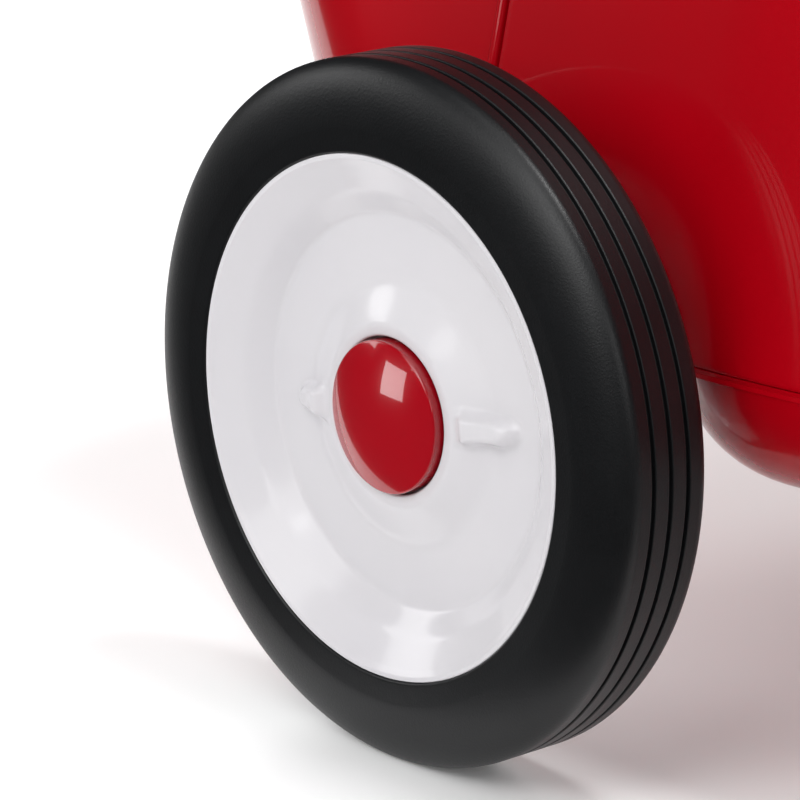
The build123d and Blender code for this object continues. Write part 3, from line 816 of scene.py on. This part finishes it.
# ------------------------------------------------------------------ tub
@dataclass
class Tub:
    """The tub's pressed panels: a tail with a hemmed front edge, two sides, a nose and a rolled rim."""

    half_width: float = 190.0
    nose_half_width: float = 118.0
    lean: float = 0.22
    tail_overhang: float = 176.0
    tail_rake: float = 0.42
    tail_corner: float = 146.0
    tail_corner_loss: float = 0.38
    nose_overhang: float = 142.0
    nose_rake: float = 0.35
    nose_corner: float = 84.0
    nose_corner_loss: float = 0.2
    taper_start: float = 110.0
    taper_blend: float = 420.0
    floor: float = 155.0
    rim: float = 330.0
    sheet: float = 1.5
    seam: float = -26.0
    nose_seam: float = 26.0
    seam_gap: float = 1.0
    hem_width: float = 4.0
    hem_height: float = 1.6
    flange: float = 12.0
    flange_step: float = 1.8
    edge_round: float = 1.3
    bead: float = 5.0
    rear_axle: float = field(init=False)
    front_axle: float = field(init=False)

    def __post_init__(self) -> None:
        """Finds the axles from the frame."""
        low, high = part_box("rear_axle")
        self.rear_axle = (low.x + high.x) / 2 / MM
        low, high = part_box("front_beam")
        self.front_axle = (low.x + high.x) / 2 / MM

    def corners(self, z: float) -> list[tuple[np.ndarray, float]]:
        """The outline's right-hand corners, tail to nose.

        Args:
            z: the height.

        Returns:
            Each corner with its radius.
        """
        up = z - self.floor
        half = self.half_width - self.lean * up
        nose_half = self.nose_half_width - self.lean * up
        tail = self.rear_axle - self.tail_overhang - self.tail_rake * up
        nose = self.front_axle + self.nose_overhang + self.nose_rake * up
        return [
            (np.array([tail, -half]), self.tail_corner - self.tail_corner_loss * up),
            (np.array([self.rear_axle + self.taper_start, -half]), self.taper_blend),
            (np.array([nose, -nose_half]), self.nose_corner - self.nose_corner_loss * up),
        ]

    def right_edge(self, z: float) -> tuple[np.ndarray, np.ndarray, np.ndarray]:
        """The three arcs of the outline's right half.

        Args:
            z: the height.

        Returns:
            The tail's corner, the bend into the taper and the nose's corner.
        """
        (a, ra), (b, rb), (c, rc) = self.corners(z)
        tail_middle, nose_middle = np.array([a[0], 0.0]), np.array([c[0], 0.0])
        return (
            corner_arc(tail_middle, a, b, ra, 40),
            corner_arc(a, b, c, rb, 16),
            corner_arc(b, c, nose_middle, rc, 30),
        )

    def hemmed_edge(self, seam: float, into: int) -> tuple[np.ndarray, np.ndarray]:
        """A panel's edge at its seam: stepped in under the side panel, then rolled out as the hem.

        Args:
            seam: the seam's X.
            into: the way along X that the panel goes from its seam, 1 or -1.

        Returns:
            The X of each point, and each point's raise outward.
        """
        turn = np.linspace(0, math.pi, 9)
        hem_x = seam + into * self.hem_width / 2 * (1 - np.cos(turn))
        hem_raise = self.hem_height * np.sin(turn)
        step_x = seam - into * np.array([self.flange, self.flange * 0.5, 0.25, 0.05, 0.0])
        step_raise = np.array([-1.0, -1.0, -1.0, -0.93, -0.5]) * self.flange_step
        flat_x = seam + into * (self.hem_width + np.array([0.4, 1.2, 4.0]))
        raised = np.concatenate([step_raise, hem_raise, np.zeros(len(flat_x))])
        return np.concatenate([step_x, hem_x, flat_x]), raised

    def tail_columns(self, z: float) -> tuple[np.ndarray, np.ndarray]:
        """The tail panel's right half from its seam to its middle.

        Args:
            z: the height.

        Returns:
            Points by 2, and each point's raise outward.
        """
        corner, _, _ = self.right_edge(z)
        x, raised = self.hemmed_edge(self.rear_axle + self.seam - self.seam_gap / 2, -1)
        x = np.concatenate([x, np.linspace(x[-1], corner[-1][0], 10)[1:-1]])
        straight = np.stack([x, np.full(len(x), corner[-1][1])], axis=-1)
        across = np.linspace(corner[0][1], 0.0, 12)[1:]
        middle = np.stack([np.full(len(across), corner[0][0]), across], axis=-1)
        line = np.vstack([straight, corner[::-1], middle])
        return line, np.concatenate([raised, np.zeros(len(line) - len(raised))])

    def side_columns(self, z: float) -> tuple[np.ndarray, np.ndarray]:
        """The right side panel from its rear seam to its nose seam, with rounded-in ends.

        Args:
            z: the height.

        Returns:
            Points by 2, and each point's raise outward.
        """
        _, bend, nose = self.right_edge(z)
        rear = self.rear_axle + self.seam + self.seam_gap / 2
        front = self.front_axle + self.nose_seam - self.seam_gap / 2
        slope = (nose[0][1] - bend[-1][1]) / (nose[0][0] - bend[-1][0])
        inward = np.array([0.0, 0.15, 0.45, 0.9, 3.0])
        drop = np.array([-0.9, -0.45, -0.15, 0.0, 0.0])
        first = np.stack([rear + inward, np.full(len(inward), bend[0][1])], axis=-1)
        run_x = np.linspace(first[-1][0], bend[0][0], 12)[1:-1]
        run = np.stack([run_x, np.full(len(run_x), bend[0][1])], axis=-1)
        taper_x = np.linspace(bend[-1][0], front - inward[-1], 14)[1:-1]
        after_x = np.concatenate([taper_x, front - inward[::-1]])
        after = np.stack([after_x, bend[-1][1] + slope * (after_x - bend[-1][0])], axis=-1)
        line = np.vstack([first, run, bend, after])
        raised = np.concatenate([drop, np.zeros(len(line) - 2 * len(drop)), drop[::-1]])
        return line, raised

    def nose_columns(self, z: float) -> tuple[np.ndarray, np.ndarray]:
        """The nose panel's right half from its seam to its middle.

        Args:
            z: the height.

        Returns:
            Points by 2, and each point's raise outward.
        """
        _, bend, corner = self.right_edge(z)
        slope = (corner[0][1] - bend[-1][1]) / (corner[0][0] - bend[-1][0])
        x, raised = self.hemmed_edge(self.front_axle + self.nose_seam + self.seam_gap / 2, 1)
        x = np.concatenate([x, np.linspace(x[-1], corner[0][0], 8)[1:-1]])
        straight = np.stack([x, bend[-1][1] + slope * (x - bend[-1][0])], axis=-1)
        across = np.linspace(corner[-1][1], 0.0, 9)[1:]
        middle = np.stack([np.full(len(across), corner[-1][0]), across], axis=-1)
        line = np.vstack([straight, corner, middle])
        return line, np.concatenate([raised, np.zeros(len(line) - len(raised))])

    def heights(self) -> np.ndarray:
        """Heights of a wall's rows, close together in the rolled lower edge."""
        r = self.edge_round
        near = self.floor + r * np.array([0.0, 0.08, 0.25, 0.5, 1.0, 2.0])
        return np.concatenate([near, np.linspace(self.floor + 8.0, self.rim, 12)])

    def edge_drop(self, z: float) -> float:
        """How far the rolled lower edge falls in: a quarter round.

        Args:
            z: the height.

        Returns:
            The fall, zero or negative.
        """
        short = max(0.0, self.edge_round - (z - self.floor))
        return -(self.edge_round - math.sqrt(max(self.edge_round**2 - short**2, 0.0)))

    def panel(self, columns: Callable, mirror: bool, both: bool) -> tuple[np.ndarray, np.ndarray]:
        """Outer and inner surfaces of a wall panel.

        Args:
            columns: the method that gives a height's points and raises, on the right.
            mirror: reflects the panel to the left side.
            both: joins the right half to its mirror image at the wagon's middle.

        Returns:
            Two grids of rows by columns by 3.
        """
        outer, inner = [], []
        for z in self.heights():
            line, raised = columns(z)
            if both:
                line = np.vstack([line, line[-2::-1] * [1, -1]])
                raised = np.concatenate([raised, raised[-2::-1]])
            tangent = np.gradient(line, axis=0)
            normal = np.stack([tangent[:, 1], -tangent[:, 0]], axis=-1)
            normal /= np.maximum(np.linalg.norm(normal, axis=1, keepdims=True), TINY)
            middle = line.mean(axis=0) * [1, 0]
            normal *= 1 if np.sum(normal * (line - middle)) > 0 else -1
            if mirror:
                line, normal = line * [1, -1], normal * [1, -1]
            for surface, back in ((outer, 0.0), (inner, self.sheet)):
                flat = line + normal * (raised + self.edge_drop(z) - back)[:, None]
                surface.append(np.column_stack([flat, np.full(len(flat), z)]))
        return np.array(outer), np.array(inner)

    def build(self) -> int:
        """Builds the panels and the rim on the wagon's body.

        Returns:
            How many pieces were made.
        """
        plan = [
            ("tub_tail", self.tail_columns, False, True),
            ("tub_nose", self.nose_columns, False, True),
            ("tub_side_right", self.side_columns, False, False),
            ("tub_side_left", self.side_columns, True, False),
        ]
        for node, columns, mirror, both in plan:
            outer, inner = self.panel(columns, mirror, both)
            made = shell_object(f"{node}_skin", outer, inner, FINISH["red"])
            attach(made, "wagon")
            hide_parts(node)
        rim = self.build_rim()
        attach(rim, "wagon")
        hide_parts("top_rim")
        return len(plan) + 1

    def build_rim(self) -> bpy.types.Object:
        """Builds the rolled rim: a round bead along the top outline.

        Returns:
            The rim.
        """
        tail, bend, nose = self.right_edge(self.rim)
        gaps = [
            np.linspace(tail[-1], bend[0], 10)[1:-1],
            np.linspace(bend[-1], nose[0], 24)[1:-1],
        ]
        right = np.vstack([tail, gaps[0], bend, gaps[1], nose])
        line = np.vstack([right, right[::-1] * [1, -1]])
        tangent = np.roll(line, -1, axis=0) - np.roll(line, 1, axis=0)
        normal = np.stack([tangent[:, 1], -tangent[:, 0]], axis=-1)
        normal /= np.linalg.norm(normal, axis=1, keepdims=True)
        centre = line - normal * self.sheet / 2
        turn = np.linspace(0, 2 * math.pi, 20, endpoint=False)
        points = np.empty((len(line), len(turn), 3))
        out = (self.bead * np.cos(turn))[None, :, None]
        points[..., :2] = centre[:, None] + normal[:, None] * out
        points[..., 2] = self.rim + self.bead * np.sin(turn)
        return grid_object("top_rim_bead", points, FINISH["red"], close_rows=True, close_columns=True)


def shell_object(
    name: str, outer: np.ndarray, inner: np.ndarray, finish: bpy.types.Material
) -> bpy.types.Object:
    """Makes a closed sheet from two matching grids, its skin outside and its back inside.

    Args:
        name: the object's name.
        outer: rows by columns by 3, in millimetres.
        inner: the same shape, one sheet behind.
        finish: its material.

    Returns:
        The object.
    """
    rows, columns = outer.shape[:2]
    front = np.arange(rows * columns).reshape(rows, columns)
    back = front + rows * columns
    strips = [grid_quads(front), grid_quads(back)[:, ::-1]]
    for a, b in ((front[0], back[0]), (back[-1], front[-1])):
        strips.append(np.stack([b[:-1], b[1:], a[1:], a[:-1]], -1))
    for a, b in ((front[:, 0], back[:, 0]), (back[:, -1], front[:, -1])):
        strips.append(np.stack([a[:-1], a[1:], b[1:], b[:-1]], -1))
    points = np.concatenate([outer.reshape(-1, 3), inner.reshape(-1, 3)])
    made = mesh_object(name, points, np.vstack(strips), finish)
    face_outward(made)
    return made


def face_outward(made: bpy.types.Object) -> None:
    """Turns a closed mesh's faces to point out of it.

    Args:
        made: the object whose faces are turned.
    """
    work = bmesh.new()
    work.from_mesh(made.data)
    bmesh.ops.recalc_face_normals(work, faces=work.faces)
    work.to_mesh(made.data)
    work.free()


# ------------------------------------------------------------------ parts that keep their CAD meshes
SLOT_FINISH = {
    "red_enamel": "red",
    "black_enamel": "black",
    "white_enamel": "white",
    "zinc_steel": "zinc",
    "red_cap": "cap",
    "tyre": "tyre",
    "nylon": "nylon",
    "black_grip": "vinyl",
}
FINISH: dict[str, bpy.types.Material] = {}


def dress_cad_nodes() -> None:
    """Gives every CAD node the finish of its slot in the record."""
    for part in frame["record"]["subparts"]:
        made = frame["nodes"][part["node"]]
        finish = FINISH[SLOT_FINISH[part["material_slot"]]]
        made.data.materials.clear()
        made.data.materials.append(finish)


# ------------------------------------------------------------------ stage
@dataclass(frozen=True)
class Panel:
    """A rectangular soft light: where it hangs from the rear right wheel, its size and its power.

    With names in only, it lights those objects and nothing else.
    """

    name: str
    toward: tuple[float, float, float]
    distance: float
    width: float
    height: float
    power: float
    only: tuple[str, ...] = ()

    def hang(self, target: Vector) -> None:
        """Hangs the light so that it faces the target.

        Args:
            target: what it faces, in metres.
        """
        data = bpy.data.lights.new(self.name, "AREA")
        data.shape = "RECTANGLE"
        data.size, data.size_y, data.energy = self.width, self.height, self.power
        lamp = bpy.data.objects.new(self.name, data)
        lamp.location = target + Vector(self.toward).normalized() * self.distance
        lamp.rotation_euler = (target - lamp.location).to_track_quat("-Z", "Y").to_euler()
        bpy.context.scene.collection.objects.link(lamp)
        if self.only:
            lit = bpy.data.collections.new(f"{self.name}_lights")
            for name in self.only:
                lit.objects.link(bpy.data.objects[name])
            lamp.light_linking.receiver_collection = lit


CAP_ONLY = ("rear_right_hub_cap_surface",)


@dataclass
class Studio:
    """A white floor and sweep in a dim room, soft panels of light, and the camera.

    The camera looks along azimuth and elevation; reach is where it stands, from the rear right wheel's
    middle, in tyre radii.
    """

    azimuth: float = 49.2823
    elevation: float = 16.5241
    lens: float = 190.3575
    reach: tuple[float, float, float] = (8.50106, -7.38978, 3.36584)
    room: float = 0.06
    room_mirrored: float = 0.03
    sweep_glow: float = 1.05
    floor_glow: float = 0.07
    floor_reach: float = 8.0
    floor_edge: float = -0.31
    sensor: float = 36.0
    sight: float = 100.0
    panels: tuple[Panel, ...] = (
        Panel("overhead_panel", (0.1, -0.4, 1.0), 2.3, 1.6, 1.4, 13.0),
        Panel("key_panel", (0.25, -0.72, 0.66), 2.2, 1.1, 0.9, 13.0),
        Panel("front_panel", (-0.05, -0.88, 0.45), 2.3, 1.5, 1.2, 16.0),
        Panel("low_left_panel", (-0.85, -0.45, 0.35), 2.3, 0.8, 0.8, 8.0),
        Panel("shoulder_panel", (0.32, 0.12, 0.95), 2.3, 0.6, 0.6, 24.0),
        Panel("right_panel", (0.8, -0.4, 0.35), 2.3, 0.8, 0.8, 6.0),
        Panel("back_panel", (-0.5, 0.85, 0.24), 3.0, 3.0, 1.2, 115.0),
        Panel("cap_panel", (-0.53, -0.845, 0.05), 1.7, 0.5, 0.42, 4.0, CAP_ONLY),
    )

    def build(self) -> None:
        """Builds the room's air with its white sweep, the floor, the lights and the camera."""
        low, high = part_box("rear_right_tyre")
        wheel = (low + high) / 2
        bpy.context.scene.view_settings.view_transform = "Standard"
        self.air()
        self.floors()
        for panel in self.panels:
            panel.hang(wheel)
        self.camera(wheel, (high.z - low.z) / 2)

    def air(self) -> None:
        """Makes the world: dim as light, dimmer in mirrors, and white to the camera."""
        world = bpy.data.worlds.new("studio_air")
        world.use_nodes = True
        glow = world.node_tree.nodes["Background"]
        glow.inputs["Color"].default_value = srgb("#FFFFFF")
        book = NodeBook(world.node_tree)
        rays = book.add("ShaderNodeLightPath")
        diffuse = rays.outputs["Is Diffuse Ray"]
        unseen = book.remap(diffuse, 0.0, 1.0, self.room_mirrored, self.room)
        seen = book.add(
            "ShaderNodeMix",
            {"Factor": rays.outputs["Is Camera Ray"], "A": unseen},
            {"B": self.sweep_glow},
            data_type="FLOAT",
        )
        world.node_tree.links.new(seen.outputs["Result"], glow.inputs["Strength"])
        bpy.context.scene.world = world

    def camera(self, wheel: Vector, radius: float) -> None:
        """Places the camera.

        Args:
            wheel: the rear right wheel's middle, in metres.
            radius: its tyre's radius, in metres.
        """
        a, e = math.radians(self.azimuth), math.radians(self.elevation)
        back = Vector((math.sin(a) * math.cos(e), -math.cos(a) * math.cos(e), math.sin(e)))
        data = bpy.data.cameras.new("camera")
        data.lens = self.lens
        data.sensor_width = self.sensor
        data.clip_end = self.sight
        camera = bpy.data.objects.new("camera", data)
        camera.location = wheel + Vector(self.reach) * radius
        camera.rotation_euler = (-back).to_track_quat("-Z", "Y").to_euler()
        bpy.context.scene.collection.objects.link(camera)
        bpy.context.scene.camera = camera

    def paper(self) -> bpy.types.Material:
        """Makes the floor's white paper, barely uneven in tone.

        Returns:
            The paper.
        """
        material, book, shader = new_material("matt_white_paper")
        where = book.add("ShaderNodeTexCoord").outputs["Object"]
        tone = book.mix_colour(book.noise(where, 300.0), srgb("#F6F6F6"), srgb("#F3F3F3"))
        book.tree.links.new(tone, shader.inputs["Base Color"])
        shader.inputs["Roughness"].default_value = 0.8
        shader.inputs["Specular IOR Level"].default_value = 0.1
        shader.inputs["Emission Color"].default_value = srgb("#FFFFFF")
        shader.inputs["Emission Strength"].default_value = self.floor_glow
        return material

    def floors(self) -> None:
        """Builds the pale floor in two halves, of which only the wagon's own is seen in reflections."""
        paper, far = self.paper(), self.floor_reach
        for name, low, high, mirrored in (
            ("studio_floor", self.floor_edge, far, True),
            ("studio_floor_front", -far, self.floor_edge, False),
        ):
            mesh = bpy.data.meshes.new(name)
            corners = [(-far, low, 0), (far, low, 0), (far, high, 0), (-far, high, 0)]
            mesh.from_pydata(corners, [], [(0, 1, 2, 3)])
            mesh.materials.append(paper)
            floor = bpy.data.objects.new(name, mesh)
            floor.visible_glossy = mirrored
            bpy.context.scene.collection.objects.link(floor)


# ------------------------------------------------------------------ assembly
def main() -> None:
    """Builds every sub-assembly in order and logs how many pieces each wheel and the tub make."""
    logging.basicConfig(level=logging.INFO, format="%(message)s")
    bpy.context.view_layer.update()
    FINISH.update(
        red=RED_ENAMEL.build(),
        white=WHITE_ENAMEL.build(),
        cap=RED_CAP.build(),
        black=BLACK_ENAMEL.build(),
        tyre=TYRE_RUBBER.build(),
        zinc=ZINC.build(),
        nylon=NYLON.build(),
        vinyl=VINYL.build(),
    )
    dress_cad_nodes()
    wheels = [
        Wheel("rear_right", Side.RIGHT, 5.5),
        Wheel("rear_left", Side.LEFT, 62.0),
        Wheel("front_right", Side.RIGHT, 118.0),
        Wheel("front_left", Side.LEFT, 31.0),
    ]
    for wheel in wheels:
        log.info("%s wheel: %d pieces", wheel.place, wheel.build())
    log.info("tub: %d pieces", Tub().build())
    Studio().build()


if __name__ == "__main__":
    main()
